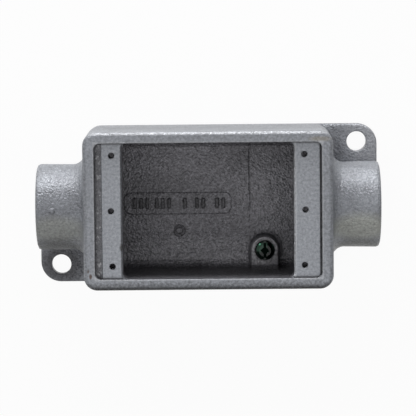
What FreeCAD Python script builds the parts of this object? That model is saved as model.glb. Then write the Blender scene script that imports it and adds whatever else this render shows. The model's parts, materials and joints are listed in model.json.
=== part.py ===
"""Shallow single-gang feed-through conduit body, cast in one piece, with its ground screw.

Frame: the open face looks along +Z, the two hubs lie along X, and the origin is the centre of the
flat back.  All sizes are in millimetres.
"""
import FreeCAD, Part
import math
import os

V = FreeCAD.Vector
X_AXIS = V(1, 0, 0)
Y_AXIS = V(0, 1, 0)
Z_AXIS = V(0, 0, 1)

# ---- outer box ----------------------------------------------------------------------------
height = 50.8             # back face to the machined rim
foot_length = 109.0       # outline of the box at its foot
foot_width = 69.8
foot_corner_r = 6.8
draft_angle = 1.2         # lean of the outside walls above the foot, degrees
rim_edge_r = 1.9          # cast rounding outside the machined rim
back_edge = 0.9           # bevel round the back face

# ---- mouth and ledges ---------------------------------------------------------------------
mouth_length = 97.4       # recess inside the rim, where a cover's gasket sits
mouth_width = 58.4
mouth_corner_r = 2.6
ledge_drop = 2.4          # rim down to the machined ledges
ledge_thickness = 9.5
ledge_gap = 73.6          # clear opening between the two ledges
ledge_gap_corner_r = 2.4
ledge_edge = 0.7          # bevel along the ledges' inner edges
relief_depth = 0.6        # as-cast strips beside the machined pads
relief_width_left = 3.2
relief_width_right = 0.8

# ---- cored chamber ------------------------------------------------------------------------
floor_thickness = 4.8
chamber_length = 98.6
chamber_corner_r = 7.0
core_draft_angle = 0.8    # the chamber narrows towards its floor, degrees
floor_cove_r = 5.5        # rounding between the floor and the walls
floor_cove_steps = 4

# ---- tapped holes in the ledges -----------------------------------------------------------
device_spacing = 83.34    # the two middle holes, which carry a wiring device
cover_spacing_x = 82.55   # the four corner holes, which carry the cover
cover_spacing_y = 47.63
small_hole_r = 1.4

# ---- hubs ---------------------------------------------------------------------------------
hub_to_hub = 150.0        # end face to end face
hub_r = 18.9              # outside radius at the end face
hub_taper = 0.25          # how much thinner the hub is beside the box
hub_back_clearance = 0.7  # underside of the hub above the back face
hub_root_r = 5.6          # cove where the hub leaves the end wall
hub_root_steps = 5
hub_end_bevel = 1.5       # two-step bevel round the outer end
thread_r = 13.3           # wall radius of the conduit thread
thread_length = 17.0
thread_lead_in = 0.8      # chamfer at the mouth of the thread
throat_r = 10.4           # integral bushing behind the thread
throat_lip = 2.4          # two-step bevel that keeps wires from chafing

# ---- mounting lugs ------------------------------------------------------------------------
lug_to_lug = 150.6        # over the outer ends of both lugs
lug_thickness = 5.0
lug_corner_r = 9.0
lug_edge_r = 1.2
lug_hole_spacing_x = 132.4
lug_hole_spacing_y = 54.0
lug_hole_r = 4.4
lug_root_r = 2.6          # fillet where a lug leaves the end wall
lug_under_hub = 2.5       # how far a lug's top runs in under the hub

# ---- ground screw and its boss ------------------------------------------------------------
ground_from_ledge = 12.0  # screw's axis to the right ledge's inner edge
ground_from_side = 8.6    # screw's axis to the lower side wall
boss_r = 5.9              # half width of the boss's flat top
boss_height = 9.2         # above the floor
boss_draft_angle = 4.0
boss_root = 2.0           # two-step bevel where the boss meets the floor
boss_ramp_run = 2.0       # the boss climbs the side wall over this distance ...
boss_ramp_rise = 6.0      # ... and this height
screw_r = 2.41
screw_clearance = 0.05    # radial, between screw and hole
screw_length = 9.5
screw_tip_chamfer = 0.6
screw_hole_extra = 1.1    # hole depth left below the screw's tip
head_r = 4.35
head_height = 2.9
head_crown = 1.7
recess_side = 2.9
recess_depth = 1.7
slot_width = 1.2
slot_depth = 1.2
recess_turn = 38.0        # how far the driver recess is turned, degrees

# ---- worked out from the sizes above ------------------------------------------------------
hub_axis_z = hub_back_clearance + hub_r
ledge_z = height - ledge_drop
ledge_under_z = ledge_z - ledge_thickness
boss_top_z = floor_thickness + boss_height
ground_x = ledge_gap / 2 - ground_from_ledge
ground_y = ground_from_side - mouth_width / 2
wall_slope = math.tan(math.radians(draft_angle))
core_slope = math.tan(math.radians(core_draft_angle))
OVERRUN = 5.0             # how far cutting tools run past what they cut
BITE = 0.06               # how far a root fillet starts inside the wall it grows from
MID_ARC = 1 - math.sqrt(0.5)   # a quarter circle's middle lies this share of its radius from its corner


def rounded_rectangle(length, width, radius, z):
    """Closed wire centred on the Z axis, with straight sides and round corners."""
    x, y = length / 2, width / 2
    inner = ((x - radius, y - radius), (radius - x, y - radius), (radius - x, radius - y), (x - radius, radius - y))
    edges = []
    for number, (cx, cy) in enumerate(inner):
        start = 90.0 * number
        arc = Part.makeCircle(radius, V(cx, cy, z), Z_AXIS, start, start + 90.0)
        if edges:
            edges.append(Part.makeLine(edges[-1].Vertexes[-1].Point, arc.Vertexes[0].Point))
        edges.append(arc)
    edges.append(Part.makeLine(edges[-1].Vertexes[-1].Point, edges[0].Vertexes[0].Point))
    return Part.Wire(Part.__sortEdges__(edges))


def prism(wire, rise):
    """Solid standing on a flat wire."""
    return Part.Face(wire).extrude(V(0, 0, rise))


def leaning_block(length, width, radius, low_z, high_z, slope):
    """Block with round corners whose walls lean in by slope as they rise; each corner is an upright cone."""
    rise = high_z - low_z
    lean = rise * slope
    x, y = length / 2, width / 2
    core_x, core_y = x - radius, y - radius
    ends = Part.makePolygon([V(-x, -core_y, low_z), V(x, -core_y, low_z), V(x - lean, -core_y, high_z),
                             V(lean - x, -core_y, high_z), V(-x, -core_y, low_z)])
    sides = Part.makePolygon([V(-core_x, -y, low_z), V(-core_x, y, low_z), V(-core_x, y - lean, high_z),
                              V(-core_x, lean - y, high_z), V(-core_x, -y, low_z)])
    along_y = Part.Face(ends).extrude(V(0, 2 * core_y, 0))
    along_x = Part.Face(sides).extrude(V(2 * core_x, 0, 0))
    corners = [Part.makeCone(radius, radius - lean, rise, V(sx * core_x, sy * core_y, low_z))
               for sx in (-1, 1) for sy in (-1, 1)]
    return along_y.fuse([along_x] + corners).removeSplitter()


def flat_face(steps):
    """Face inside a closed profile.  A step is a point, or (point passed, end point) for an arc."""
    edges = []
    here = steps[0]
    for step in steps[1:]:
        if isinstance(step, tuple):
            through, end = step
            edges.append(Part.Arc(here, through, end).toShape())
            here = end
        else:
            edges.append(Part.makeLine(here, step))
            here = step
    edges.append(Part.makeLine(here, steps[0]))
    return Part.Face(Part.Wire(edges))


def turned(steps, axis_point, axis):
    """Solid of revolution of a closed profile."""
    return flat_face(steps).revolve(axis_point, axis, 360)


def cove(radius, steps):
    """Points down a concave quarter circle, each as (distance from the wall, height above the surface below)."""
    turns = [math.pi / 2 * number / steps for number in range(steps + 1)]
    return [(radius * (1 - math.cos(turn)), radius * (1 - math.sin(turn))) for turn in turns]


def edges_at_height(solid, z):
    """Edges that lie wholly in the plane at height z."""
    def flat(edge):
        box = edge.BoundBox
        return abs(box.ZMin - z) < 1e-4 and abs(box.ZMax - z) < 1e-4
    return [edge for edge in solid.Edges if flat(edge)]


def half_turn(solid):
    """The same piece at the diagonally opposite end."""
    other = solid.copy()
    other.rotate(V(0, 0, 0), Z_AXIS, 180)
    return other


def outer_box():
    """Foot with upright sides and a bevelled back, then walls that lean in to a rounded rim."""
    foot = prism(rounded_rectangle(foot_length, foot_width, foot_corner_r, 0), lug_thickness)
    foot = foot.makeChamfer(back_edge, edges_at_height(foot, 0))
    walls = leaning_block(foot_length, foot_width, foot_corner_r, lug_thickness, height, wall_slope)
    walls = walls.makeFillet(rim_edge_r, edges_at_height(walls, height))
    return foot.fuse(walls)


def hub_barrel():
    """The +X hub's outside: slightly tapered, with a two-step bevel at its end."""
    end_x = hub_to_hub / 2
    slim_r = hub_r - hub_taper
    step = hub_end_bevel * MID_ARC
    start_x = chamber_length / 2
    barrel = turned([
        V(start_x, 0, 0),
        V(start_x, 0, slim_r),
        V(foot_length / 2, 0, slim_r),
        V(end_x - hub_end_bevel, 0, hub_r),
        V(end_x - step, 0, hub_r - step),
        V(end_x, 0, hub_r - hub_end_bevel),
        V(end_x, 0, 0),
    ], V(0, 0, 0), X_AXIS)
    barrel.translate(V(0, 0, hub_axis_z))
    return barrel


def hub_root():
    """Cove round the +X hub where it leaves the end wall, leaning with the wall."""
    low_r = hub_r - hub_taper - BITE
    outline = [V(-2 * BITE, 0, 0), V(-2 * BITE, 0, low_r + hub_root_r)]
    outline += [V(out - BITE, 0, low_r + up) for out, up in cove(hub_root_r, hub_root_steps)]
    outline.append(V(hub_root_r - BITE, 0, 0))
    flare = turned(outline, V(0, 0, 0), X_AXIS)
    flare.rotate(V(0, 0, 0), Y_AXIS, -draft_angle)
    flare.translate(V(foot_length / 2 - (hub_axis_z - lug_thickness) * wall_slope, 0, hub_axis_z))
    return flare


def hub():
    """Outside of the +X hub, kept above the back face."""
    above_back = Part.makeBox(hub_to_hub, foot_width, height, V(0, -foot_width / 2, 0))
    return hub_barrel().fuse(hub_root()).common(above_back)


def hub_bore():
    """What is cut through the +X hub: lead-in, thread, and throat with a bevelled lip at each end."""
    end_x = hub_to_hub / 2
    thread_end = end_x - thread_length
    inner_x = chamber_length / 2
    lip = throat_lip
    step = lip * MID_ARC
    lip_r = throat_r + lip
    bore = turned([
        V(end_x + OVERRUN, 0, 0),
        V(end_x + OVERRUN, 0, thread_r + thread_lead_in),
        V(end_x, 0, thread_r + thread_lead_in),
        V(end_x - thread_lead_in, 0, thread_r),
        V(thread_end, 0, thread_r),
        V(thread_end, 0, lip_r),
        V(thread_end - step, 0, throat_r + step),
        V(thread_end - lip, 0, throat_r),
        V(inner_x + lip, 0, throat_r),
        V(inner_x + step, 0, throat_r + step),
        V(inner_x, 0, lip_r),
        V(inner_x - OVERRUN, 0, lip_r),
        V(inner_x - OVERRUN, 0, 0),
    ], V(0, 0, 0), X_AXIS)
    bore.translate(V(0, 0, hub_axis_z))
    return bore


def lug():
    """Mounting lug at the +X, +Y corner, flush with the back and with the side of the foot."""
    end_x = lug_to_lug / 2
    side_y = foot_width / 2
    start_x = foot_length / 2 - 2 * foot_corner_r
    hub_side_y = math.sqrt(hub_r ** 2 - (hub_axis_z - lug_thickness) ** 2)
    inner_y = hub_side_y - lug_under_hub
    corner = V(end_x - lug_corner_r, side_y - lug_corner_r, 0)
    outline = [
        Part.makeLine(V(start_x, inner_y, 0), V(end_x, inner_y, 0)),
        Part.makeLine(V(end_x, inner_y, 0), V(end_x, corner.y, 0)),
        Part.makeCircle(lug_corner_r, corner, Z_AXIS, 0, 90),
        Part.makeLine(V(corner.x, side_y, 0), V(start_x, side_y, 0)),
        Part.makeLine(V(start_x, side_y, 0), V(start_x, inner_y, 0)),
    ]
    plate = prism(Part.Wire(outline), lug_thickness)
    plate = plate.makeChamfer(back_edge, lug_rim(plate, 0, start_x))
    return plate.makeFillet(lug_edge_r, lug_rim(plate, lug_thickness, start_x))


def lug_rim(plate, z, start_x):
    """Edges of a lug's face at height z, without the one buried in the box."""
    return [edge for edge in edges_at_height(plate, z) if edge.BoundBox.XMax > start_x + back_edge]


def lug_root():
    """Concave fillet between the +X, +Y lug's top and the end wall, carried round the box's corner."""
    low_z = lug_thickness
    high_z = lug_thickness + lug_root_r
    wall_x = foot_length / 2 - lug_root_r * wall_slope - BITE
    axis_x = foot_length / 2 - foot_corner_r
    axis_y = foot_width / 2 - foot_corner_r
    share = lug_root_r * MID_ARC
    low = V(wall_x + lug_root_r, axis_y, low_z)
    middle = V(wall_x + share, axis_y, low_z + share)
    high = V(wall_x, axis_y, high_z)
    buried_high = V(axis_x + foot_corner_r / 2, axis_y, high_z)
    buried_low = V(axis_x + foot_corner_r / 2, axis_y, low_z - lug_edge_r)
    outer_low = V(low.x, axis_y, low_z - lug_edge_r)
    section = Part.Face(Part.Wire([
        Part.Arc(low, middle, high).toShape(),
        Part.makeLine(high, buried_high),
        Part.makeLine(buried_high, buried_low),
        Part.makeLine(buried_low, outer_low),
        Part.makeLine(outer_low, low),
    ]))
    straight = section.extrude(V(0, -axis_y, 0))
    corner = section.revolve(V(axis_x, axis_y, 0), Z_AXIS, 90)
    keep = Part.makeBox(lug_to_lug / 2, foot_width / 2 - lug_edge_r, height)
    return straight.fuse(corner).common(keep)


def lug_hole():
    """Clearance hole through the +X, +Y lug."""
    return Part.makeCylinder(lug_hole_r, lug_thickness + 2 * OVERRUN,
                             V(lug_hole_spacing_x / 2, lug_hole_spacing_y / 2, -OVERRUN))


def chamber():
    """The cored hollow below the ledges: leaning walls and a cove all round the floor."""
    heights = []
    for out, up in reversed(cove(floor_cove_r, floor_cove_steps)):
        z = floor_thickness + up
        heights.append((z, out + (ledge_under_z - z) * core_slope))
    heights.append((ledge_under_z, 0.0))
    layers = []
    for (low_z, low_inset), (high_z, high_inset) in zip(heights, heights[1:]):
        slope = (high_inset - low_inset) / (high_z - low_z)
        layers.append(leaning_block(chamber_length - 2 * low_inset, mouth_width - 2 * low_inset,
                                    chamber_corner_r - low_inset, low_z, high_z, slope))
    return layers[0].fuse(layers[1:]).removeSplitter()


def mouth():
    """Opening between the ledges, the recess above them, and the as-cast strips beside the pads."""
    gap_low = ledge_under_z - ledge_gap_corner_r
    gap = prism(rounded_rectangle(ledge_gap, mouth_width, ledge_gap_corner_r, gap_low),
                height + OVERRUN - gap_low)
    recess = prism(rounded_rectangle(mouth_length, mouth_width, mouth_corner_r, ledge_z), ledge_drop + OVERRUN)
    deep = prism(rounded_rectangle(mouth_length, mouth_width, mouth_corner_r, ledge_z - relief_depth),
                 ledge_drop + OVERRUN)
    left = Part.makeBox(relief_width_left, mouth_width, height, V(-mouth_length / 2, -mouth_width / 2, 0))
    right = Part.makeBox(relief_width_right, mouth_width, height,
                         V(mouth_length / 2 - relief_width_right, -mouth_width / 2, 0))
    bevel = leaning_block(ledge_gap, mouth_width, ledge_gap_corner_r, ledge_z - ledge_edge, ledge_z, -1.0)
    between_walls = Part.makeBox(mouth_length, mouth_width, height, V(-mouth_length / 2, -mouth_width / 2, 0))
    return gap.fuse([recess, bevel.common(between_walls), deep.common(left), deep.common(right)])


def small_holes():
    """Tapped holes through the ledges: two for the device, four for the cover."""
    places = [(side * device_spacing / 2, 0) for side in (-1, 1)]
    places += [(side * cover_spacing_x / 2, end * cover_spacing_y / 2) for side in (-1, 1) for end in (-1, 1)]
    length = ledge_thickness + ledge_drop + 2 * OVERRUN
    return [Part.makeCylinder(small_hole_r, length, V(x, y, ledge_under_z - OVERRUN)) for x, y in places]


def boss():
    """Raised boss for the ground screw: a round end, a straight run to the side wall and a ramp up it."""
    foot_r = boss_r + (boss_height - boss_root) * math.tan(math.radians(boss_draft_angle))
    step = boss_root * MID_ARC
    base_z = floor_thickness
    buried_z = floor_thickness - back_edge
    half = [V(0, 0, buried_z)]
    half.append(V(foot_r + boss_root, 0, buried_z))
    half.append(V(foot_r + boss_root, 0, base_z))
    half.append(V(foot_r + step, 0, base_z + step))
    half.append(V(foot_r, 0, base_z + boss_root))
    half.append(V(boss_r, 0, boss_top_z))
    half.append(V(0, 0, boss_top_z))
    mirrored = [V(-point.x, 0, point.z) for point in half]
    wall_y = -mouth_width / 2 - ground_y
    outside_y = wall_y - back_edge
    run = V(0, outside_y, 0)
    ramp_side = Part.makePolygon([
        V(-boss_r, wall_y + boss_ramp_run, base_z),
        V(-boss_r, wall_y + boss_ramp_run, boss_top_z),
        V(-boss_r, wall_y, boss_top_z + boss_ramp_rise),
        V(-boss_r, outside_y, boss_top_z + boss_ramp_rise),
        V(-boss_r, outside_y, base_z),
        V(-boss_r, wall_y + boss_ramp_run, base_z),
    ])
    ramp = Part.Face(ramp_side).extrude(V(2 * boss_r, 0, 0))
    round_end = turned(half, V(0, 0, 0), Z_AXIS)
    whole = round_end.fuse([flat_face(half).extrude(run), flat_face(mirrored).extrude(run), ramp])
    whole.translate(V(ground_x, ground_y, 0))
    return whole.removeSplitter()


def ground_hole():
    """Blind tapped hole in the boss, with a drill point."""
    r = screw_r + screw_clearance
    depth = screw_length + screw_hole_extra
    hole = turned([
        V(0, 0, boss_top_z + boss_ramp_rise),
        V(r, 0, boss_top_z + boss_ramp_rise),
        V(r, 0, boss_top_z - depth),
        V(0, 0, boss_top_z - depth - r * 0.3),
    ], V(0, 0, 0), Z_AXIS)
    hole.translate(V(ground_x, ground_y, 0))
    return hole


def ground_screw():
    """Pan-head screw with a square recess crossed by a slot."""
    top_z = head_height
    crown = head_crown
    profile = [
        V(0, 0, -screw_length),
        V(screw_r - screw_tip_chamfer, 0, -screw_length),
        V(screw_r, 0, -screw_length + screw_tip_chamfer),
        V(screw_r, 0, 0),
        V(head_r, 0, 0),
        V(head_r, 0, top_z - crown),
        V(head_r - crown * MID_ARC, 0, top_z - crown * MID_ARC),
        V(head_r - crown, 0, top_z),
        V(0, 0, top_z),
    ]
    screw = turned(profile, V(0, 0, 0), Z_AXIS)
    square = Part.makeBox(recess_side, recess_side, recess_depth + OVERRUN,
                          V(-recess_side / 2, -recess_side / 2, top_z - recess_depth))
    slot = Part.makeBox(slot_width, 2 * head_r + 2, slot_depth + OVERRUN,
                        V(-slot_width / 2, -head_r - 1, top_z - slot_depth))
    square.rotate(V(0, 0, 0), Z_AXIS, recess_turn)
    screw = screw.cut(square.fuse(slot))
    screw.translate(V(ground_x, ground_y, boss_top_z))
    return screw


def conduit_body():
    """The whole casting."""
    outside = outer_box().fuse([hub(), half_turn(hub()), lug(), half_turn(lug()), lug_root(), half_turn(lug_root())])
    hollow = chamber().fuse(mouth())
    shell = outside.cut(hollow)
    shell = shell.fuse(boss())
    cutters = [hub_bore(), half_turn(hub_bore()), lug_hole(), half_turn(lug_hole()), ground_hole()]
    return shell.cut(Part.makeCompound(cutters + small_holes())).removeSplitter()


def main():
    os.makedirs("parts", exist_ok=True)
    for name, shape in (("conduit_body", conduit_body()), ("ground_screw", ground_screw())):
        print(name, shape.isValid(), len(shape.Solids), len(shape.Faces), round(shape.Volume, 2), shape.BoundBox)
        shape.exportStep("parts/" + name + ".step")


main()
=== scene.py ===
"""Finish for the cast conduit body and its green ground screw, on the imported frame.

Laid out as an add-on and run as a script: every piece has its own operator, and main() calls
them in order.  All lengths are in metres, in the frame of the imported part: the open face looks
along +Z, the hubs lie along X and the back stands on z = 0.
"""
import json
import math

import bmesh
import bpy
from mathutils import Matrix, Vector


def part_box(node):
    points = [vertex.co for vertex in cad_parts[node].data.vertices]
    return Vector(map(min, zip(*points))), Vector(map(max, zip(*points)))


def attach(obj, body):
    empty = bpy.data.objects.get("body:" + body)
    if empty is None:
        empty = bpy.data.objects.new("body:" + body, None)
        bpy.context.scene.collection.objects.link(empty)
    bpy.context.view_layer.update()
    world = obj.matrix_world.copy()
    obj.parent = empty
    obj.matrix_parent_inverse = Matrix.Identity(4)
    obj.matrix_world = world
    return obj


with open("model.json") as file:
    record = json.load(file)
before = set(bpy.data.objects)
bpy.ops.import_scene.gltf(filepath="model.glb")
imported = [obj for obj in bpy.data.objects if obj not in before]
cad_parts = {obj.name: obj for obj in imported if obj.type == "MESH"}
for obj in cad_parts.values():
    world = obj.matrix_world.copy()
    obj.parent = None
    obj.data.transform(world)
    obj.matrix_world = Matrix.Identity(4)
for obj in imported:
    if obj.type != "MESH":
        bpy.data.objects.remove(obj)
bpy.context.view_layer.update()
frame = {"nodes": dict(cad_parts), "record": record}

bl_info = {
    "name": "Conduit body finish",
    "version": (1, 0, 0),
    "blender": (4, 5, 0),
    "location": "3D View > Sidebar > Conduit body",
    "description": "Threads, raised shapes, finishes and the stage for a conduit body",
    "category": "Object",
}

MM = 0.001
MOUNTS = {mount["name"]: mount for mount in frame["record"]["mounts"]}
HUB = MOUNTS["hub_right"]
COVER = MOUNTS["cover_screws"]
DEVICE = MOUNTS["device_screws"]
LEDGE_Z = COVER["pos_m"][2]
HUB_AXIS_Z = HUB["pos_m"][2]
HUB_THREAD_R = HUB["dims"]["r_mm"] * MM
SMALL_HOLE_R = COVER["dims"]["hole_r_mm"] * MM
SCREW_LOW, SCREW_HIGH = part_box("ground_screw")
SCREW_DOME_R = 6.4 * MM  # radius of the sphere that the screw's head is cut from
FLOOR_Z = 4.8 * MM  # floor of the chamber

# Raised shapes, in metres.
MARK_FOOT = 0.3 * MM  # how far a raised shape reaches down into the floor
WELD = 1e-6  # points nearer than this are one
PAD_CORNER_R = 3.2 * MM
PAD_EDGE_R = 0.2 * MM
BAR_EDGE_R = 0.3 * MM
BAR_STEPS_MM = (-19.2, -16.4, -13.6, -9.4, -6.6, -3.8, 3.2, 8.6, 11.4, 17.6, 20.4)
RING_R = 2.0 * MM
RING_WIRE_R = 0.7 * MM
PIP_R = 1.5 * MM
PIP_FLATNESS = 0.4
PIP_Y = -0.5 * MM
PIP_RISE = 18.55 * MM  # from the hub's axis to its surface at the pip

# Threads: how far a ridge is sunk into its wall, and how finely a turn is divided.
HUB_THREAD_BURY = 0.15 * MM
HUB_TURN_STEPS = 32
HOLE_THREAD_BURY = 0.06 * MM
HOLE_TURN_STEPS = 14
HOLE_THREAD_TOP = 0.5 * MM  # from the ledge down to the first turn

# Where one finish of the casting gives way to the next, in mm: each pair holds the From Min (1)
# and the From Max (2) of a Map Range node. First the heights.
CHAMBER_TO_STRIP = {1: 47.0, 2: 47.5}
STRIP_TO_CHAMBER = {1: 47.6, 2: 47.0}
STRIP_TO_LEDGE = {1: 48.05, 2: 48.25}
LEDGE_TO_RIM = {1: 49.8, 2: 50.2}
RIM_ROUNDING = {1: 49.4, 2: 50.2}
# Then the distances from the two middle lines.
LEDGE_TO_STRIP = {1: 45.2, 2: 46.3}
WALL_TO_STRIP = {1: 50.4, 2: 50.0}
END_TO_CHAMBER = {1: 50.4, 2: 49.8}
SIDE_TO_CHAMBER = {1: 30.4, 2: 29.8}
RECESS_HALF_LENGTH = 48.7
RECESS_HALF_WIDTH = 29.2
SEAM_X = 17.5  # joint line of the two core halves
SEAM_WANDER = 1.6

# Sizes in mm, detail and roughness of the casting's noises: sand grain, slow waviness of a
# green-sand mould, speckle of the colour, and chipped spots. Moulding sand is about 0.3 mm, so
# the grain and the pebbles are drawn coarser than the real ones, so that they show.
CAST_NOISES = ((0.85, 3.0, 0.6), (9.0, 2.0, 0.5), (1.1, 3.0, 0.7), (2.0, 2.0, 0.6))
PEBBLE_SIZE = 0.8

# Finishes that aren't settings, sRGB hex.
STRIP_DARK, STRIP_PALE, STRIP_CHIP = "2E2D30", "6E6D70", "B9B9BC"
# the second colour here is painted shade along the recess's lower corner
# the third colour here is painted shade for narrow inside corners
WORN_EDGE, RECESS_CORNER_SHADE, CORNER_PAINTED_SHADE = "B4B6BA", "3C3C40", "1E1E21"
# the second screw colour is painted shade for its driver recess and slot
SCREW_SHADE, SCREW_RECESS_SHADE = "10221A", "020403"
FLOOR_BOUNCE = "808080"
FLOOR_WHITENESS = 0.95  # share of plain white that the camera and reflections see in the floor

# Where the casting's skin departs from its finish, and where painted shade and painted light are
# laid on it: middle and reach in mm, sRGB hex, and the share of that colour. Each one fades out
# over a ragged edge.
SKIN_PATCHES_AND_PAINTED_LIGHT = (
    # the lugs: painted shade on the left one and at the right one's root, and painted light at the
    # right one's end
    ((-66.2, -27.0, 4.0), (14.0, 12.0, 10.0), "343337", 0.85),
    ((56.0, 24.0, 4.0), (6.0, 8.0, 12.0), "4C4B50", 0.3),
    ((70.0, 28.0, 4.0), (12.0, 16.0, 9.0), "B4B5BA", 0.35),
    # painted shade along the lower rim's outer rounding, which faces away from the key lamp
    ((0.0, -36.4, 50.4), (300.0, 6.2, 3.4), "050506", 1.0),
    # the chamber: painted shade on two patches of floor and on the lower wall; painted light on the
    # boss and on two paler patches of floor
    ((-22.0, 3.0, 4.0), (32.0, 12.0, 9.0), "2E2D30", 0.35),
    ((22.0, 22.0, 4.0), (24.0, 12.0, 9.0), "3A393C", 0.3),
    ((0.0, -31.5, 20.0), (75.0, 4.6, 32.0), "19181B", 0.8),
    ((24.8, -20.6, 13.0), (9.0, 8.0, 6.0), "B2B1B5", 0.8),
    ((0.0, -22.0, 4.0), (60.0, 8.0, 8.0), "9A999E", 0.4),
    ((30.0, 4.0, 4.0), (20.0, 24.0, 9.0), "8C8B90", 0.35),
    # painted shade on the upper long side, which faces the key lamp
    ((0.0, 37.5, 25.0), (200.0, 5.0, 32.0), "5E5F64", 0.6),
    # the hubs: a yellowish band, paler than the coat, partly tint and partly painted light; painted
    # shade on each underside, and on a band of the left one
    ((-66.0, -9.0, 36.0), (17.0, 8.0, 12.0), "96978E", 0.5),
    ((66.0, -9.0, 36.0), (17.0, 8.0, 12.0), "B0B1A6", 0.55),
    ((-66.0, -18.5, 24.0), (17.0, 8.6, 18.0), "1E1F1B", 0.8),
    ((66.0, -18.5, 24.0), (17.0, 7.6, 15.0), "4A4B44", 0.75),
    ((-66.0, 3.0, 38.0), (17.0, 9.0, 9.0), "56575C", 0.35),
    # the rim's face, and a painted highlight along its upper edge
    ((0.0, 0.0, 51.5), (120.0, 80.0, 1.4), "5F6166", 0.5),
    ((0.0, 33.2, 50.2), (300.0, 1.0, 1.3), "C6C8CC", 0.4),
    # two rust spots and a stain on the rim
    ((-50.6, -27.8, 50.8), (0.9, 1.3, 2.0), "3A2414", 0.9),
    ((-51.6, -25.6, 50.8), (0.5, 0.9, 2.0), "3A2414", 0.8),
    ((48.0, 30.4, 50.8), (6.0, 1.4, 3.0), "8A7848", 0.25),
    # a painted highlight along the right ledge's inner edge, a darker line along the left one's,
    # and a casting flaw in the left one
    ((37.1, 0.0, 48.0), (0.9, 60.0, 1.5), "C8CACE", 0.6),
    ((-37.0, 0.0, 48.0), (0.9, 60.0, 1.5), "55565A", 0.6),
    ((-37.2, -15.6, 48.2), (1.3, 2.0, 1.5), "3A3938", 0.8),
    # painted shade on the tops of the bars and of the ring on the floor
    ((-13.8, -0.1, 6.3), (40.0, 14.0, 1.0), "262528", 0.7),
    ((-13.1, -12.4, 6.0), (5.0, 5.0, 1.0), "262528", 0.7),
)

# Camera: leans and roll in degrees, shifts as shares of the view, and the focal length in the
# same units as the side of the square view.
CAMERA_LEAN_X = 0.25
CAMERA_LEAN_Y = 4.65
CAMERA_ROLL = 0.55
CAMERA_AIM = Vector((0, 0, LEDGE_Z))
CAMERA_SHIFT = (-0.0005, 0.0062)
FOCAL_LENGTH = 2220.0
VIEW_SIDE = 416
SENSOR_WIDTH = 36.0
LAMP_AIM = Vector((0, 0, 0.03))
FLOOR_REACH = 3.0  # from the middle to each side
FLOOR_DROP = 0.3 * MM  # the floor lies this far under the back face


# ---- settings -------------------------------------------------------------------------------


class ConduitThreadSettings(bpy.types.PropertyGroup):
    hub_pitch: bpy.props.FloatProperty(
        name="Hub thread pitch",
        description="Distance between two turns of the taper conduit thread, 14 to the inch",
        default=1.814 * MM,
        min=0.5 * MM,
        unit="LENGTH",
    )
    hub_turns: bpy.props.FloatProperty(
        name="Hub thread turns",
        description="Turns cut into each hub",
        default=8.4,
        min=1.0,
    )
    hub_depth: bpy.props.FloatProperty(
        name="Hub thread depth",
        description="How far the crest stands in from the thread's wall",
        default=1.1 * MM,
        min=0.1 * MM,
        unit="LENGTH",
    )
    hub_outer_end: bpy.props.FloatProperty(
        name="Hub thread start",
        description="Distance from the middle of the box to the outermost turn",
        default=73.4 * MM,
        unit="LENGTH",
    )
    hole_pitch: bpy.props.FloatProperty(
        name="Tapped hole pitch",
        description="Distance between two turns in the cover and device holes, 32 to the inch",
        default=0.794 * MM,
        min=0.2 * MM,
        unit="LENGTH",
    )
    hole_turns: bpy.props.FloatProperty(
        name="Tapped hole turns",
        description="Turns cut into each cover and device hole",
        default=10.0,
        min=1.0,
    )
    hole_depth: bpy.props.FloatProperty(
        name="Tapped hole thread depth",
        description="How far the crest stands in from the hole's wall",
        default=0.24 * MM,
        min=0.02 * MM,
        unit="LENGTH",
    )


class ConduitMarkSettings(bpy.types.PropertyGroup):
    pad_centre: bpy.props.FloatVectorProperty(
        name="Pad centre",
        description="Middle of the raised pad on the floor, seen from above",
        size=2,
        default=(-13.8 * MM, -0.1 * MM),
        subtype="TRANSLATION",
        unit="LENGTH",
    )
    pad_size: bpy.props.FloatVectorProperty(
        name="Pad size",
        description="Length and width of the raised pad",
        size=2,
        default=(48.0 * MM, 9.8 * MM),
        subtype="XYZ",
        unit="LENGTH",
    )
    pad_height: bpy.props.FloatProperty(
        name="Pad height",
        description="How far the pad stands off the chamber floor",
        default=0.35 * MM,
        min=0.05 * MM,
        unit="LENGTH",
    )
    bar_size: bpy.props.FloatVectorProperty(
        name="Bar size",
        description="Width and length of one raised bar on the pad",
        size=2,
        default=(1.5 * MM, 4.6 * MM),
        subtype="XYZ",
        unit="LENGTH",
    )
    bar_height: bpy.props.FloatProperty(
        name="Bar height",
        description="How far a bar stands off the pad",
        default=0.9 * MM,
        min=0.05 * MM,
        unit="LENGTH",
    )
    ring_centre: bpy.props.FloatVectorProperty(
        name="Ring centre",
        description="Middle of the small raised ring beside the pad",
        size=2,
        default=(-13.1 * MM, -12.4 * MM),
        subtype="TRANSLATION",
        unit="LENGTH",
    )
    pip_x: bpy.props.FloatProperty(
        name="Pip place",
        description="Where the round pip stands along the left hub",
        default=-67.7 * MM,
        unit="LENGTH",
    )


class ConduitFinishSettings(bpy.types.PropertyGroup):
    coat: bpy.props.StringProperty(
        name="Finish coat",
        description="Grey finish coat over the plated casting, sRGB hex",
        default="8A8D93",
    )
    # this colour also carries painted shade on the low parts near the back, in cast_colour
    coat_shade: bpy.props.StringProperty(
        name="Finish coat, thin",
        description="Where the coat is thin and the iron below darkens it, sRGB hex",
        default="6E6F74",
    )
    cored: bpy.props.StringProperty(
        name="Cored iron",
        description="Inside of the chamber, which the core leaves dark, sRGB hex",
        default="6E6D72",
    )
    machined: bpy.props.StringProperty(
        name="Milled iron",
        description="Milled rim and ledges under their plating, sRGB hex",
        default="8C8F95",
    )
    green: bpy.props.StringProperty(
        name="Screw green",
        description="Green dye of the plated ground screw, sRGB hex",
        default="1C3A2C",
    )


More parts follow.
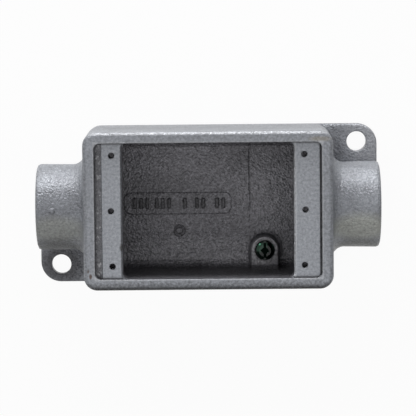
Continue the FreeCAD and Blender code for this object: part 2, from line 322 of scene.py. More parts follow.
class ConduitStageSettings(bpy.types.PropertyGroup):
    floor: bpy.props.StringProperty(
        name="Floor",
        description="Colour of the pale floor, sRGB hex",
        default="F0F0F0",
    )
    key_power: bpy.props.FloatProperty(
        name="Key power",
        description="Power of the soft box above the upper long side",
        default=8.4,
        unit="POWER",
    )
    fill_power: bpy.props.FloatProperty(
        name="Fill power",
        description="Power of the soft box behind the camera",
        default=2.3,
        unit="POWER",
    )
    side_power: bpy.props.FloatProperty(
        name="Side power",
        description="Power of the small soft box at the upper left, for sharp highlights",
        default=0.55,
        unit="POWER",
    )
    ambient: bpy.props.FloatProperty(
        name="Ambient light",
        description="Strength of the even light of the surroundings",
        default=0.15,
    )
    distance: bpy.props.FloatProperty(
        name="Camera distance",
        description="From the camera to the plane of the ledges",
        default=0.95,
        unit="LENGTH",
    )


class ConduitBodySettings(bpy.types.PropertyGroup):
    threads: bpy.props.PointerProperty(
        name="Threads", description="Sizes of the threads", type=ConduitThreadSettings
    )
    marks: bpy.props.PointerProperty(
        name="Raised shapes", description="Sizes of the raised shapes", type=ConduitMarkSettings
    )
    finish: bpy.props.PointerProperty(
        name="Finish", description="Colours of the finishes", type=ConduitFinishSettings
    )
    stage: bpy.props.PointerProperty(
        name="Stage", description="Floor, lights and camera", type=ConduitStageSettings
    )


# ---- small helpers --------------------------------------------------------------------------


def linear(hex_colour):
    """An sRGB hex colour as a linear RGBA value."""
    channels = []
    for start in (0, 2, 4):
        value = int(hex_colour[start : start + 2], 16) / 255
        channels.append(value / 12.92 if value <= 0.04045 else ((value + 0.055) / 1.055) ** 2.4)
    return (*channels, 1.0)


def add_node(tree, kind, inputs=None, **settings):
    """A node with its settings made and its inputs set or linked."""
    made = tree.nodes.new(kind)
    for name, value in settings.items():
        setattr(made, name, value)
    for key, value in (inputs or {}).items():
        if isinstance(value, bpy.types.NodeSocket):
            tree.links.new(value, made.inputs[key])
        else:
            made.inputs[key].default_value = value
    return made


def new_material(name):
    """An empty node material and its tree."""
    material = bpy.data.materials.new(name)
    material.use_nodes = True
    material.node_tree.nodes.clear()
    return material, material.node_tree


def add_piece(bm, name, body, material):
    """The finished bmesh as an object that rides on a body and has one material."""
    mesh = bpy.data.meshes.new(name)
    bm.to_mesh(mesh)
    bm.free()
    piece = bpy.data.objects.new(name, mesh)
    bpy.context.scene.collection.objects.link(piece)
    mesh.materials.append(material)
    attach(piece, body)


def join_into(bm, one):
    """Adds one bmesh to another and frees it."""
    loose = bpy.data.meshes.new("loose")
    one.to_mesh(loose)
    one.free()
    bm.from_mesh(loose)
    bpy.data.meshes.remove(loose)


def cast_finish():
    """The casting's material, for the pieces that are cast or cut in one with it."""
    return frame["nodes"]["conduit_body"].material_slots[0].material


def seen_rays(tree):
    """The light path's outputs, and 1 for camera, glossy and transmission rays."""
    rays = add_node(tree, "ShaderNodeLightPath").outputs
    seen = rays["Is Camera Ray"]
    for kind in ("Is Glossy Ray", "Is Transmission Ray"):
        seen = add_node(
            tree, "ShaderNodeMath", {0: seen, 1: rays[kind]}, operation="MAXIMUM"
        ).outputs[0]
    return rays, seen


def dress_node(name, material):
    """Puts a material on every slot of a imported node."""
    node = frame["nodes"][name]
    if not node.material_slots:
        node.data.materials.append(material)
    for slot in node.material_slots:
        slot.material = material


def helix_ridge(bm, radius, depth, pitch, turns, steps_per_turn, bury):
    """A closed thread ridge about +Z, from z = 0 up, standing in from a wall of that radius."""
    root = 0.44 * pitch
    crest = 0.07 * pitch
    outline = [
        (radius + bury, -root),
        (radius + bury, root),
        (radius - depth, crest),
        (radius - depth, -crest),
    ]
    corners = [bm.verts.new((r, 0, z)) for r, z in outline]
    face = bm.faces.new(corners)
    steps = round(turns * steps_per_turn)
    bmesh.ops.spin(
        bm,
        geom=list(face.verts) + list(face.edges) + [face],
        cent=(0, 0, 0),
        axis=(0, 0, 1),
        dvec=(0, 0, turns * pitch / steps),
        angle=turns * math.tau,
        steps=steps,
        use_merge=False,
        use_duplicate=False,
    )
    open_edges = [edge for edge in bm.edges if len(edge.link_faces) == 1]
    bmesh.ops.holes_fill(bm, edges=open_edges, sides=4)


# ---- finishes -------------------------------------------------------------------------------


def cast_fields(tree):
    """Places, grains and regions of the casting, in mm of its own frame.

    The regions run from 0 to 1: milled faces, the as-cast strips beside the ledges, the cored
    chamber, all that lies above the chamber, and the joint line on the chamber's floor.
    """
    place = add_node(tree, "ShaderNodeTexCoord").outputs["Object"]
    grid = add_node(
        tree, "ShaderNodeVectorMath", {0: place, 1: (1000, 1000, 1000)}, operation="MULTIPLY"
    ).outputs[0]
    x, y, z = add_node(tree, "ShaderNodeSeparateXYZ", {0: grid}).outputs
    along = add_node(tree, "ShaderNodeMath", {0: x}, operation="ABSOLUTE").outputs[0]
    across = add_node(tree, "ShaderNodeMath", {0: y}, operation="ABSOLUTE").outputs[0]
    normal = add_node(tree, "ShaderNodeNewGeometry").outputs["Normal"]
    facing_up = add_node(tree, "ShaderNodeSeparateXYZ", {0: normal}).outputs[2]

    grain, wave, speckle, chips = (
        add_node(
            tree,
            "ShaderNodeTexNoise",
            {"Vector": grid, "Scale": 1 / size, "Detail": detail, "Roughness": roughness},
        ).outputs[0]
        for size, detail, roughness in CAST_NOISES
    )
    pebbles = add_node(
        tree,
        "ShaderNodeTexVoronoi",
        {"Vector": grid, "Scale": 1 / PEBBLE_SIZE},
        feature="SMOOTH_F1",
    ).outputs[0]

    level = add_node(tree, "ShaderNodeMapRange", {0: facing_up, 1: 0.9, 2: 0.97}).outputs[0]
    above_strip = add_node(tree, "ShaderNodeMapRange", {0: z, **STRIP_TO_LEDGE}).outputs[0]
    milled = add_node(
        tree, "ShaderNodeMath", {0: level, 1: above_strip}, operation="MULTIPLY"
    ).outputs[0]
    above_chamber = add_node(tree, "ShaderNodeMapRange", {0: z, **CHAMBER_TO_STRIP}).outputs[0]
    strip = add_node(
        tree, "ShaderNodeMath", {0: above_chamber, 1: above_strip}, operation="SUBTRACT"
    ).outputs[0]
    for span in (LEDGE_TO_STRIP, WALL_TO_STRIP):
        here = add_node(tree, "ShaderNodeMapRange", {0: along, **span}).outputs[0]
        strip = add_node(
            tree, "ShaderNodeMath", {0: strip, 1: here}, operation="MULTIPLY"
        ).outputs[0]
    cored = add_node(tree, "ShaderNodeMapRange", {0: along, **END_TO_CHAMBER}).outputs[0]
    for value, span in ((across, SIDE_TO_CHAMBER), (z, STRIP_TO_CHAMBER)):
        here = add_node(tree, "ShaderNodeMapRange", {0: value, **span}).outputs[0]
        cored = add_node(
            tree, "ShaderNodeMath", {0: cored, 1: here}, operation="MULTIPLY"
        ).outputs[0]

    # the joint line wanders with the mould's waviness and fades out towards the boss
    wander = add_node(
        tree, "ShaderNodeMath", {0: wave, 1: SEAM_WANDER}, operation="MULTIPLY"
    ).outputs[0]
    beside = add_node(
        tree, "ShaderNodeMath", {0: x, 1: wander}, operation="SUBTRACT"
    ).outputs[0]
    beside = add_node(
        tree, "ShaderNodeMath", {0: beside, 1: SEAM_X}, operation="SUBTRACT"
    ).outputs[0]
    beside = add_node(tree, "ShaderNodeMath", {0: beside}, operation="ABSOLUTE").outputs[0]
    seam = add_node(tree, "ShaderNodeMapRange", {0: beside, 1: 0.45, 2: 0.05}).outputs[0]
    fade = add_node(tree, "ShaderNodeMapRange", {0: y, 1: -17.0, 2: 6.0}).outputs[0]
    for share in (fade, cored):
        seam = add_node(
            tree, "ShaderNodeMath", {0: seam, 1: share}, operation="MULTIPLY"
        ).outputs[0]
    return {
        "grid": grid,
        "z": z,
        "along": along,
        "across": across,
        "grain": grain,
        "wave": wave,
        "speckle": speckle,
        "chips": chips,
        "pebbles": pebbles,
        "milled": milled,
        "strip": strip,
        "cored": cored,
        "above_chamber": above_chamber,
        "seam": seam,
    }


def patch_shares(tree, field):
    """Share and colour of each entry of SKIN_PATCHES_AND_PAINTED_LIGHT, with ragged edges."""
    shares = []
    for middle, reach, colour, strength in SKIN_PATCHES_AND_PAINTED_LIGHT:
        away = add_node(
            tree, "ShaderNodeVectorMath", {0: field["grid"], 1: middle}, operation="SUBTRACT"
        ).outputs[0]
        spread = add_node(
            tree, "ShaderNodeVectorMath", {0: away, 1: reach}, operation="DIVIDE"
        ).outputs[0]
        far = add_node(tree, "ShaderNodeVectorMath", {0: spread}, operation="LENGTH").outputs[1]
        ragged = add_node(
            tree, "ShaderNodeMath", {0: field["speckle"], 1: 0.5, 2: far}, operation="MULTIPLY_ADD"
        ).outputs[0]
        share = add_node(
            tree, "ShaderNodeMapRange", {0: ragged, 1: 1.25, 2: 0.75, 4: strength}
        ).outputs[0]
        shares.append((share, linear(colour)))
    return shares


def recess_shares(tree, field):
    """The recess for a cover: its upper edge is worn bright, and its lower corner is darkened with
    painted shade.
    """
    past_end = add_node(
        tree, "ShaderNodeMath", {0: field["along"], 1: RECESS_HALF_LENGTH}, operation="SUBTRACT"
    ).outputs[0]
    past_side = add_node(
        tree, "ShaderNodeMath", {0: field["across"], 1: RECESS_HALF_WIDTH}, operation="SUBTRACT"
    ).outputs[0]
    past = add_node(
        tree, "ShaderNodeMath", {0: past_end, 1: past_side}, operation="MAXIMUM"
    ).outputs[0]
    above = add_node(tree, "ShaderNodeMapRange", {0: field["z"], **LEDGE_TO_RIM}).outputs[0]
    worn = add_node(tree, "ShaderNodeMapRange", {0: past, 1: 0.75, 2: 0.35, 4: 0.4}).outputs[0]
    worn = add_node(tree, "ShaderNodeMath", {0: worn, 1: above}, operation="MULTIPLY").outputs[0]
    corner_shade = add_node(tree, "ShaderNodeMapRange", {0: past, 1: -0.7, 2: -0.2, 4: 0.75}).outputs[0]
    below = add_node(tree, "ShaderNodeMapRange", {0: above, 3: 1.0, 4: 0.0}).outputs[0]
    inside = add_node(tree, "ShaderNodeMapRange", {0: past, 1: 0.4, 2: 0.2}).outputs[0]
    for share in (below, field["above_chamber"], inside):
        corner_shade = add_node(
            tree, "ShaderNodeMath", {0: corner_shade, 1: share}, operation="MULTIPLY"
        ).outputs[0]
    return [(worn, linear(WORN_EDGE)), (corner_shade, linear(RECESS_CORNER_SHADE))]


def cast_colour(tree, finish, field):
    """The casting's colour: layers of coat, wear, dirt, painted shade and painted highlights, then
    a mottle over all of them.
    """
    # the thin coat colour shows where the wave thins the coat at random, and as painted shade on
    # the low parts near the back
    thin = add_node(tree, "ShaderNodeMapRange", {0: field["wave"], 1: 0.42, 2: 0.72, 4: 0.55})
    low_shade = add_node(tree, "ShaderNodeMapRange", {0: field["z"], 1: 9.0, 2: 4.0, 4: 0.5})
    thin_coat_and_low_shade = add_node(
        tree, "ShaderNodeMath", {0: thin.outputs[0], 1: low_shade.outputs[0]}, operation="MAXIMUM"
    ).outputs[0]
    strip_share = add_node(
        tree, "ShaderNodeMath", {0: field["strip"], 1: 0.8}, operation="MULTIPLY"
    ).outputs[0]
    strip_skin = add_node(
        tree,
        "ShaderNodeMix",
        {0: field["speckle"], 6: linear(STRIP_DARK), 7: linear(STRIP_PALE)},
        data_type="RGBA",
    ).outputs[2]
    chipped = add_node(
        tree, "ShaderNodeMapRange", {0: field["chips"], 1: 0.58, 2: 0.68, 4: 0.6}
    ).outputs[0]
    burrs = add_node(
        tree, "ShaderNodeMath", {0: field["strip"], 1: chipped}, operation="MULTIPLY"
    ).outputs[0]
    # painted shade: ambient occlusion darkens narrow inside corners
    open_sky = add_node(
        tree, "ShaderNodeAmbientOcclusion", {"Distance": 1.8 * MM}, samples=8
    ).outputs["AO"]
    crevice_shade = add_node(tree, "ShaderNodeMapRange", {0: open_sky, 1: 0.9, 2: 0.5, 4: 0.7}).outputs[0]

    colour = linear(finish.coat)
    for share, over in (
        (thin_coat_and_low_shade, linear(finish.coat_shade)),
        (field["cored"], linear(finish.cored)),
        (strip_share, strip_skin),
        (burrs, linear(STRIP_CHIP)),
        (field["milled"], linear(finish.machined)),
        *patch_shares(tree, field),
        *recess_shares(tree, field),
        (crevice_shade, linear(CORNER_PAINTED_SHADE)),
    ):
        colour = add_node(
            tree, "ShaderNodeMix", {0: share, 6: colour, 7: over}, data_type="RGBA"
        ).outputs[2]

    # the mottle is stronger on the dry cored iron, and so are the pits between its pebbles
    contrast = add_node(tree, "ShaderNodeMapRange", {0: field["cored"], 3: 1.5, 4: 2.6}).outputs[0]
    around = add_node(
        tree, "ShaderNodeMath", {0: field["speckle"], 1: 0.5}, operation="SUBTRACT"
    ).outputs[0]
    mottle = add_node(
        tree, "ShaderNodeMath", {0: around, 1: contrast, 2: 1.0}, operation="MULTIPLY_ADD"
    ).outputs[0]
    tone = add_node(tree, "ShaderNodeClamp", {0: mottle, 1: 0.35, 2: 1.7}).outputs[0]
    pits = add_node(
        tree, "ShaderNodeMapRange", {0: field["pebbles"], 1: 0.3, 2: 0.6, 3: 1.06, 4: 0.72}
    ).outputs[0]
    pits = add_node(tree, "ShaderNodeMix", {0: field["cored"], 2: 1.0, 3: pits}).outputs[0]
    seam = add_node(tree, "ShaderNodeMapRange", {0: field["seam"], 3: 1.0, 4: 0.8}).outputs[0]
    for factor in (pits, seam):
        tone = add_node(
            tree, "ShaderNodeMath", {0: tone, 1: factor}, operation="MULTIPLY"
        ).outputs[0]
    return add_node(
        tree, "ShaderNodeVectorMath", {0: colour, "Scale": tone}, operation="SCALE"
    ).outputs[0]


def cast_relief(tree, field):
    """The casting's normal: pebbled on cast skin, faint on milled faces, with softened corners."""
    relief = add_node(
        tree, "ShaderNodeMath", {0: field["grain"], 1: field["pebbles"]}, operation="SUBTRACT"
    ).outputs[0]
    skin = add_node(tree, "ShaderNodeMapRange", {0: field["milled"], 3: 1.0, 4: 0.12}).outputs[0]
    rise = add_node(tree, "ShaderNodeMath", {0: relief, 1: skin}, operation="MULTIPLY").outputs[0]
    height = add_node(
        tree, "ShaderNodeMath", {0: field["seam"], 1: -0.8, 2: rise}, operation="MULTIPLY_ADD"
    ).outputs[0]
    # corners of cast skin are soft, those of the ledges crisp
    on_rim = add_node(tree, "ShaderNodeMapRange", {0: field["z"], **RIM_ROUNDING}).outputs[0]
    on_ledge = add_node(
        tree, "ShaderNodeMath", {0: field["above_chamber"], 1: on_rim}, operation="SUBTRACT"
    ).outputs[0]
    corner = add_node(
        tree, "ShaderNodeMapRange", {0: on_ledge, 3: 1.0 * MM, 4: 0.3 * MM}
    ).outputs[0]
    softened = add_node(tree, "ShaderNodeBevel", {"Radius": corner}, samples=6).outputs[0]
    return add_node(
        tree,
        "ShaderNodeBump",
        {"Strength": 1.0, "Distance": 0.3 * MM, "Height": height, "Normal": softened},
    ).outputs[0]


def sand_cast_material(finish):
    """Sand-cast iron, zinc plated and coated aluminium grey.

    It looks pebbled and softly glossy outside, darker and drier where the core formed the
    chamber, and flat and pale where the rim and the ledges are milled. The flakes in the coat
    make it a quarter metallic.
    """
    material, tree = new_material("sand_cast_iron_grey_coat")
    field = cast_fields(tree)
    gloss = add_node(
        tree, "ShaderNodeMapRange", {0: field["grain"], 1: 0.3, 2: 0.7, 3: 0.32, 4: 0.48}
    ).outputs[0]
    surface = add_node(
        tree,
        "ShaderNodeBsdfPrincipled",
        {
            "Base Color": cast_colour(tree, finish, field),
            "Metallic": 0.25,
            "Roughness": gloss,
            "Normal": cast_relief(tree, field),
        },
    ).outputs[0]
    add_node(tree, "ShaderNodeOutputMaterial", {"Surface": surface})
    return material


def green_zinc_material(finish):
    """Bright zinc, dyed green and sealed: a dark, wet-looking metal with small sharp highlights."""
    material, tree = new_material("green_dyed_zinc")
    place = add_node(tree, "ShaderNodeTexCoord").outputs["Object"]
    # plating grain of about 0.4 mm, drawn coarser than the real one so that it shows
    grain = add_node(
        tree, "ShaderNodeTexNoise", {"Vector": place, "Scale": 1 / (0.4 * MM), "Detail": 2.0}
    ).outputs[0]
    gloss = add_node(
        tree, "ShaderNodeMapRange", {0: grain, 1: 0.3, 2: 0.7, 3: 0.12, 4: 0.2}
    ).outputs[0]
    tint = add_node(
        tree,
        "ShaderNodeMix",
        {0: grain, 6: linear(finish.green), 7: linear(SCREW_SHADE)},
        data_type="RGBA",
    ).outputs[2]
    # painted shade: below the domed top the driver recess and slot are coloured nearly black
    centre = ((SCREW_LOW.x + SCREW_HIGH.x) / 2, (SCREW_LOW.y + SCREW_HIGH.y) / 2, SCREW_HIGH.z)
    from_top = add_node(
        tree, "ShaderNodeVectorMath", {0: place, 1: centre}, operation="SUBTRACT"
    ).outputs[0]
    flat = add_node(
        tree, "ShaderNodeVectorMath", {0: from_top, 1: (1, 1, 0)}, operation="MULTIPLY"
    ).outputs[0]
    square = add_node(
        tree, "ShaderNodeVectorMath", {0: flat, 1: flat}, operation="DOT_PRODUCT"
    ).outputs[1]
    dome = add_node(
        tree, "ShaderNodeMath", {0: square, 1: -0.5 / SCREW_DOME_R}, operation="MULTIPLY"
    ).outputs[0]
    height = add_node(tree, "ShaderNodeSeparateXYZ", {0: from_top}).outputs[2]
    under = add_node(
        tree, "ShaderNodeMath", {0: dome, 1: height}, operation="SUBTRACT"
    ).outputs[0]
    hollow = add_node(
        tree, "ShaderNodeMapRange", {0: under, 1: 0.1 * MM, 2: 0.4 * MM}
    ).outputs[0]
    tint = add_node(
        tree, "ShaderNodeMix", {0: hollow, 6: tint, 7: linear(SCREW_RECESS_SHADE)}, data_type="RGBA"
    ).outputs[2]
    # the head is turned round, so its facets are shaded as one smooth dome
    outward = add_node(
        tree, "ShaderNodeVectorMath", {0: from_top, 1: (0, 0, SCREW_DOME_R)}, operation="ADD"
    ).outputs[0]
    outward = add_node(tree, "ShaderNodeVectorMath", {0: outward}, operation="NORMALIZE").outputs[0]
    outward = add_node(
        tree,
        "ShaderNodeVectorTransform",
        {0: outward},
        vector_type="NORMAL",
        convert_from="OBJECT",
        convert_to="WORLD",
    ).outputs[0]
    facet = add_node(tree, "ShaderNodeNewGeometry").outputs["Normal"]
    rounded = add_node(
        tree, "ShaderNodeMix", {0: hollow, 4: outward, 5: facet}, data_type="VECTOR"
    ).outputs[1]
    bump = add_node(
        tree,
        "ShaderNodeBump",
        {"Strength": 1.0, "Distance": 0.01 * MM, "Height": grain, "Normal": rounded},
    ).outputs[0]
    sealer = add_node(tree, "ShaderNodeMapRange", {0: hollow, 3: 0.35, 4: 0.0}).outputs[0]
    surface = add_node(
        tree,
        "ShaderNodeBsdfPrincipled",
        {
            "Base Color": tint,
            "Metallic": 1.0,
            "Roughness": gloss,
            "Normal": bump,
            "Coat Weight": sealer,
            "Coat Roughness": 0.08,
        },
    ).outputs[0]
    add_node(tree, "ShaderNodeOutputMaterial", {"Surface": surface})
    return material


# ---- raised shapes --------------------------------------------------------------------------


def floor_pad(marks):
    """The raised pad on the chamber's floor."""
    bm = bmesh.new()
    bmesh.ops.create_cube(bm, size=1.0)
    depth = marks.pad_height + MARK_FOOT
    bmesh.ops.scale(bm, vec=(marks.pad_size[0], marks.pad_size[1], depth), verts=bm.verts)
    uprights = [e for e in bm.edges if abs(e.verts[0].co.z - e.verts[1].co.z) > depth / 2]
    bmesh.ops.bevel(
        bm,
        geom=uprights,
        offset=PAD_CORNER_R,
        segments=8,
        profile=0.5,
        affect="EDGES",
        material=-1,
    )
    top = [e for e in bm.edges if min(v.co.z for v in e.verts) > depth / 2 - WELD]
    bmesh.ops.bevel(
        bm,
        geom=top,
        offset=PAD_EDGE_R,
        segments=2,
        profile=0.5,
        affect="EDGES",
        material=-1,
    )
    bmesh.ops.translate(
        bm,
        vec=(marks.pad_centre[0], marks.pad_centre[1], FLOOR_Z + marks.pad_height - depth / 2),
        verts=bm.verts,
    )
    bmesh.ops.recalc_face_normals(bm, faces=bm.faces)
    return bm


def floor_bars(marks):
    """Plain bars in a row on the pad."""
    bm = bmesh.new()
    for step in BAR_STEPS_MM:
        one = bmesh.new()
        bmesh.ops.create_cube(one, size=1.0)
        depth = marks.bar_height + MARK_FOOT
        bmesh.ops.scale(one, vec=(marks.bar_size[0], marks.bar_size[1], depth), verts=one.verts)
        bmesh.ops.bevel(
            one,
            geom=[e for e in one.edges if max(v.co.z for v in e.verts) > 0],
            offset=BAR_EDGE_R,
            segments=3,
            profile=0.5,
            affect="EDGES",
            material=-1,
        )
        bmesh.ops.translate(
            one,
            vec=(
                marks.pad_centre[0] + step * MM,
                marks.pad_centre[1],
                FLOOR_Z + marks.pad_height + marks.bar_height - depth / 2,
            ),
            verts=one.verts,
        )
        join_into(bm, one)
    return bm


def floor_ring(marks):
    """A plain ring beside the pad, sunk to its middle in the floor."""
    bm = bmesh.new()
    bmesh.ops.create_circle(bm, cap_ends=False, radius=RING_WIRE_R, segments=10)
    upright = Matrix.Rotation(math.pi / 2, 3, "X")
    bmesh.ops.rotate(bm, cent=(0, 0, 0), matrix=upright, verts=bm.verts)
    bmesh.ops.translate(bm, vec=(RING_R, 0, 0), verts=bm.verts)
    bmesh.ops.spin(
        bm,
        geom=list(bm.verts) + list(bm.edges),
        cent=(0, 0, 0),
        axis=(0, 0, 1),
        dvec=(0, 0, 0),
        angle=math.tau,
        steps=32,
        use_merge=True,
        use_duplicate=False,
    )
    bmesh.ops.remove_doubles(bm, verts=bm.verts, dist=WELD)
    bmesh.ops.translate(
        bm, vec=(marks.ring_centre[0], marks.ring_centre[1], FLOOR_Z), verts=bm.verts
    )
    bmesh.ops.recalc_face_normals(bm, faces=bm.faces)
    return bm


def hub_pip(marks):
    """A round, flattened pip on top of the left hub."""
    bm = bmesh.new()
    bmesh.ops.create_uvsphere(bm, u_segments=24, v_segments=12, radius=PIP_R)
    bmesh.ops.scale(bm, vec=(1.0, 1.0, PIP_FLATNESS), verts=bm.verts)
    hub_top = HUB_AXIS_Z + PIP_RISE
    bmesh.ops.translate(bm, vec=(marks.pip_x, PIP_Y, hub_top), verts=bm.verts)
    return bm


# ---- stage ----------------------------------------------------------------------------------


def floor_material(stage):
    """Matt white paper sweep: shows white, and keeps a soft shadow."""
    material, tree = new_material("white_paper_sweep")
    rays, seen = seen_rays(tree)
    share = add_node(
        tree, "ShaderNodeMath", {0: seen, 1: FLOOR_WHITENESS}, operation="MULTIPLY"
    ).outputs[0]
    # dimmer for the light it throws back, as a sweep with a black card beside it is
    paper = add_node(
        tree,
        "ShaderNodeMix",
        {0: rays["Is Diffuse Ray"], 6: linear(stage.floor), 7: linear(FLOOR_BOUNCE)},
        data_type="RGBA",
    ).outputs[2]
    matt = add_node(
        tree, "ShaderNodeBsdfPrincipled", {"Base Color": paper, "Roughness": 0.9}
    ).outputs[0]
    white = add_node(
        tree, "ShaderNodeEmission", {"Color": (1, 1, 1, 1), "Strength": 1.0}
    ).outputs[0]
    mixed = add_node(tree, "ShaderNodeMixShader", {0: share, 1: matt, 2: white}).outputs[0]
    add_node(tree, "ShaderNodeOutputMaterial", {"Surface": mixed})
    return material


def lay_floor(scene, stage):
    """The pale floor under the object."""
    bm = bmesh.new()
    bmesh.ops.create_grid(bm, x_segments=2, y_segments=2, size=FLOOR_REACH)
    bmesh.ops.translate(bm, vec=(0, 0, -FLOOR_DROP), verts=bm.verts)
    mesh = bpy.data.meshes.new("floor")
    bm.to_mesh(mesh)
    bm.free()
    floor = bpy.data.objects.new("floor", mesh)
    scene.collection.objects.link(floor)
    mesh.materials.append(floor_material(stage))


def light_surroundings(scene, stage):
    """White to the camera and in reflections, and an even soft light otherwise."""
    world = bpy.data.worlds.new("soft_surroundings")
    scene.world = world
    world.use_nodes = True
    tree = world.node_tree
    tree.nodes.clear()
    seen = seen_rays(tree)[1]
    # a dark card along the lower long side: the surroundings fade towards -Y
    direction = add_node(tree, "ShaderNodeTexCoord").outputs["Generated"]
    sky = add_node(tree, "ShaderNodeSeparateXYZ", {0: direction}).outputs[1]
    even = add_node(
        tree, "ShaderNodeMapRange", {0: sky, 1: -0.7, 2: 0.7, 3: 0.4, 4: 1.6}
    ).outputs[0]
    ambient = add_node(
        tree, "ShaderNodeMath", {0: even, 1: stage.ambient}, operation="MULTIPLY"
    ).outputs[0]
    strength = add_node(tree, "ShaderNodeMix", {0: seen, 2: ambient, 3: 1.0}).outputs[0]
    light = add_node(
        tree, "ShaderNodeBackground", {"Color": (1, 1, 1, 1), "Strength": strength}
    ).outputs[0]
    add_node(tree, "ShaderNodeOutputWorld", {"Surface": light})


def place_lamps(scene, stage):
    """Three soft boxes, each with its place and its length and width, aimed at the object."""
    for name, power, place, size in (
        ("key_softbox", stage.key_power, (-0.10, 0.77, 0.15), (0.9, 0.26)),
        ("side_softbox", stage.side_power, (-0.43, 0.50, 0.48), (0.07, 0.07)),
        ("fill_softbox", stage.fill_power, (-0.04, -0.25, 0.92), (0.9, 0.7)),
    ):
        light = bpy.data.lights.new(name, "AREA")
        light.shape = "RECTANGLE"
        light.size = size[0]
        light.size_y = size[1]
        light.energy = power
        lamp = bpy.data.objects.new(name, light)
        scene.collection.objects.link(lamp)
        turn = (LAMP_AIM - Vector(place)).to_track_quat("-Z", "Y")
        lamp.matrix_world = Matrix.Translation(place) @ turn.to_matrix().to_4x4()


def aim_camera(scene, stage):
    """The camera over the open face, rolled and leaning a little."""
    lean_x = math.tan(math.radians(CAMERA_LEAN_X))
    lean_y = math.tan(math.radians(CAMERA_LEAN_Y))
    away = Vector((lean_x, lean_y, 1)).normalized()
    up = (Vector((0, 1, 0)) - away * away.y).normalized()
    right = up.cross(away)
    roll = math.radians(CAMERA_ROLL)
    tilted_right = right * math.cos(roll) - up * math.sin(roll)
    tilted_up = right * math.sin(roll) + up * math.cos(roll)
    turn = Matrix((tilted_right, tilted_up, away)).transposed().to_4x4()
    lens = bpy.data.cameras.new("camera")
    lens.sensor_width = SENSOR_WIDTH
    lens.lens = FOCAL_LENGTH * SENSOR_WIDTH / VIEW_SIDE
    lens.shift_x, lens.shift_y = CAMERA_SHIFT
    lens.clip_start = 0.01
    camera = bpy.data.objects.new("camera", lens)
    camera.matrix_world = Matrix.Translation(CAMERA_AIM + away * stage.distance) @ turn
    scene.collection.objects.link(camera)
    scene.camera = camera


# ---- pieces ---------------------------------------------------------------------------------


class CONDUIT_OT_finish_casting(bpy.types.Operator):
    """Gives the casting its sand-cast, coated and milled finish"""

    bl_idname = "conduit.finish_casting"
    bl_label = "Finish the casting"

    def execute(self, context):
        settings = context.scene.conduit_body
        dress_node("conduit_body", sand_cast_material(settings.finish))
        return {"FINISHED"}


class CONDUIT_OT_finish_screw(bpy.types.Operator):
    """Gives the ground screw its green plated finish"""

    bl_idname = "conduit.finish_screw"
    bl_label = "Finish the ground screw"

    def execute(self, context):
        settings = context.scene.conduit_body
        dress_node("ground_screw", green_zinc_material(settings.finish))
        return {"FINISHED"}


class CONDUIT_OT_cut_hub_threads(bpy.types.Operator):
    """Adds the conduit thread inside both hubs"""

    bl_idname = "conduit.cut_hub_threads"
    bl_label = "Cut the hub threads"

    def execute(self, context):
        threads = context.scene.conduit_body.threads
        material = cast_finish()
        for name, turn in (("hub_thread_right", math.pi / 2), ("hub_thread_left", -math.pi / 2)):
            bm = bmesh.new()
            helix_ridge(
                bm,
                HUB_THREAD_R,
                threads.hub_depth,
                threads.hub_pitch,
                threads.hub_turns,
                HUB_TURN_STEPS,
                HUB_THREAD_BURY,
            )
            inner_end = threads.hub_outer_end - threads.hub_turns * threads.hub_pitch
            bmesh.ops.translate(bm, vec=(0, 0, inner_end), verts=bm.verts)
            bmesh.ops.transform(bm, matrix=Matrix.Rotation(turn, 4, "Y"), verts=bm.verts)
            bmesh.ops.translate(bm, vec=(0, 0, HUB_AXIS_Z), verts=bm.verts)
            bmesh.ops.recalc_face_normals(bm, faces=bm.faces)
            add_piece(bm, name, "casting", material)
        return {"FINISHED"}


class CONDUIT_OT_cut_hole_threads(bpy.types.Operator):
    """Adds the fine thread inside the cover and device holes"""

    bl_idname = "conduit.cut_hole_threads"
    bl_label = "Cut the tapped holes"

    def execute(self, context):
        threads = context.scene.conduit_body.threads
        material = cast_finish()
        cover_x = COVER["dims"]["spacing_x_mm"] * MM / 2
        cover_y = COVER["dims"]["spacing_y_mm"] * MM / 2
        device_x = DEVICE["dims"]["spacing_x_mm"] * MM / 2
        places = [(side * cover_x, end * cover_y) for side in (-1, 1) for end in (-1, 1)]
        places += [(-device_x, 0.0), (device_x, 0.0)]
        bm = bmesh.new()
        for x, y in places:
            one = bmesh.new()
            helix_ridge(
                one,
                SMALL_HOLE_R,
                threads.hole_depth,
                threads.hole_pitch,
                threads.hole_turns,
                HOLE_TURN_STEPS,
                HOLE_THREAD_BURY,
            )
            bottom = LEDGE_Z - HOLE_THREAD_TOP - threads.hole_turns * threads.hole_pitch
            bmesh.ops.translate(one, vec=(x, y, bottom), verts=one.verts)
            bmesh.ops.recalc_face_normals(one, faces=one.faces)
            join_into(bm, one)
        add_piece(bm, "tapped_hole_threads", "casting", material)
        return {"FINISHED"}


class CONDUIT_OT_raise_marks(bpy.types.Operator):
    """Adds the raised pad, its plain bars and ring on the floor, and the pip on the left hub"""

    bl_idname = "conduit.raise_marks"
    bl_label = "Raise the plain marks"

    def execute(self, context):
        marks = context.scene.conduit_body.marks
        material = cast_finish()
        shapes = (
            ("floor_pad", floor_pad),
            ("floor_bars", floor_bars),
            ("floor_ring", floor_ring),
            ("hub_pip", hub_pip),
        )
        for name, shape in shapes:
            add_piece(shape(marks), name, "casting", material)
        return {"FINISHED"}


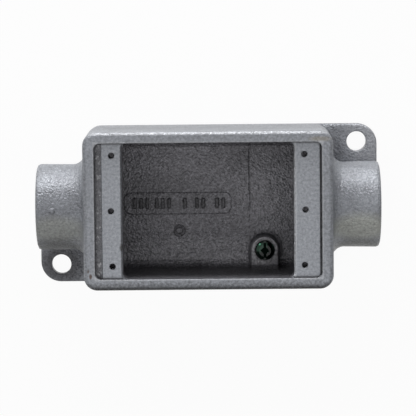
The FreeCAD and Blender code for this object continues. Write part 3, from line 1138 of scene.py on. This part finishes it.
class CONDUIT_OT_build_stage(bpy.types.Operator):
    """Adds the pale floor, the soft lights and the camera"""

    bl_idname = "conduit.build_stage"
    bl_label = "Build the stage"

    def execute(self, context):
        stage = context.scene.conduit_body.stage
        scene = context.scene
        scene.view_settings.view_transform = "Standard"
        for build in (lay_floor, light_surroundings, place_lamps, aim_camera):
            build(scene, stage)
        return {"FINISHED"}


class CONDUIT_PT_panel(bpy.types.Panel):
    """Lists the pieces and their sizes in the sidebar"""

    bl_idname = "CONDUIT_PT_panel"
    bl_label = "Conduit body"
    bl_space_type = "VIEW_3D"
    bl_region_type = "UI"
    bl_category = "Conduit body"

    def draw(self, context):
        settings = context.scene.conduit_body
        for title, group, operators in PANEL_ROWS:
            box = self.layout.box()
            box.label(text=title)
            values = getattr(settings, group)
            for name in values.bl_rna.properties.keys():
                if name not in ("rna_type", "name"):
                    box.prop(values, name)
            for operator in operators:
                box.operator(operator)


PANEL_ROWS = (
    ("Finishes", "finish", ("conduit.finish_casting", "conduit.finish_screw")),
    ("Threads", "threads", ("conduit.cut_hub_threads", "conduit.cut_hole_threads")),
    ("Raised shapes", "marks", ("conduit.raise_marks",)),
    ("Stage", "stage", ("conduit.build_stage",)),
)

CLASSES = (
    ConduitThreadSettings,
    ConduitMarkSettings,
    ConduitFinishSettings,
    ConduitStageSettings,
    ConduitBodySettings,
    CONDUIT_OT_finish_casting,
    CONDUIT_OT_finish_screw,
    CONDUIT_OT_cut_hub_threads,
    CONDUIT_OT_cut_hole_threads,
    CONDUIT_OT_raise_marks,
    CONDUIT_OT_build_stage,
    CONDUIT_PT_panel,
)


def register():
    for cls in CLASSES:
        bpy.utils.register_class(cls)
    bpy.types.Scene.conduit_body = bpy.props.PointerProperty(
        name="Conduit body", description="Settings of the conduit body", type=ConduitBodySettings
    )


def unregister():
    del bpy.types.Scene.conduit_body
    for cls in reversed(CLASSES):
        bpy.utils.unregister_class(cls)


def main():
    register()
    bpy.ops.conduit.finish_casting()
    bpy.ops.conduit.finish_screw()
    bpy.ops.conduit.cut_hub_threads()
    bpy.ops.conduit.cut_hole_threads()
    bpy.ops.conduit.raise_marks()
    bpy.ops.conduit.build_stage()


if __name__ == "__main__":
    main()
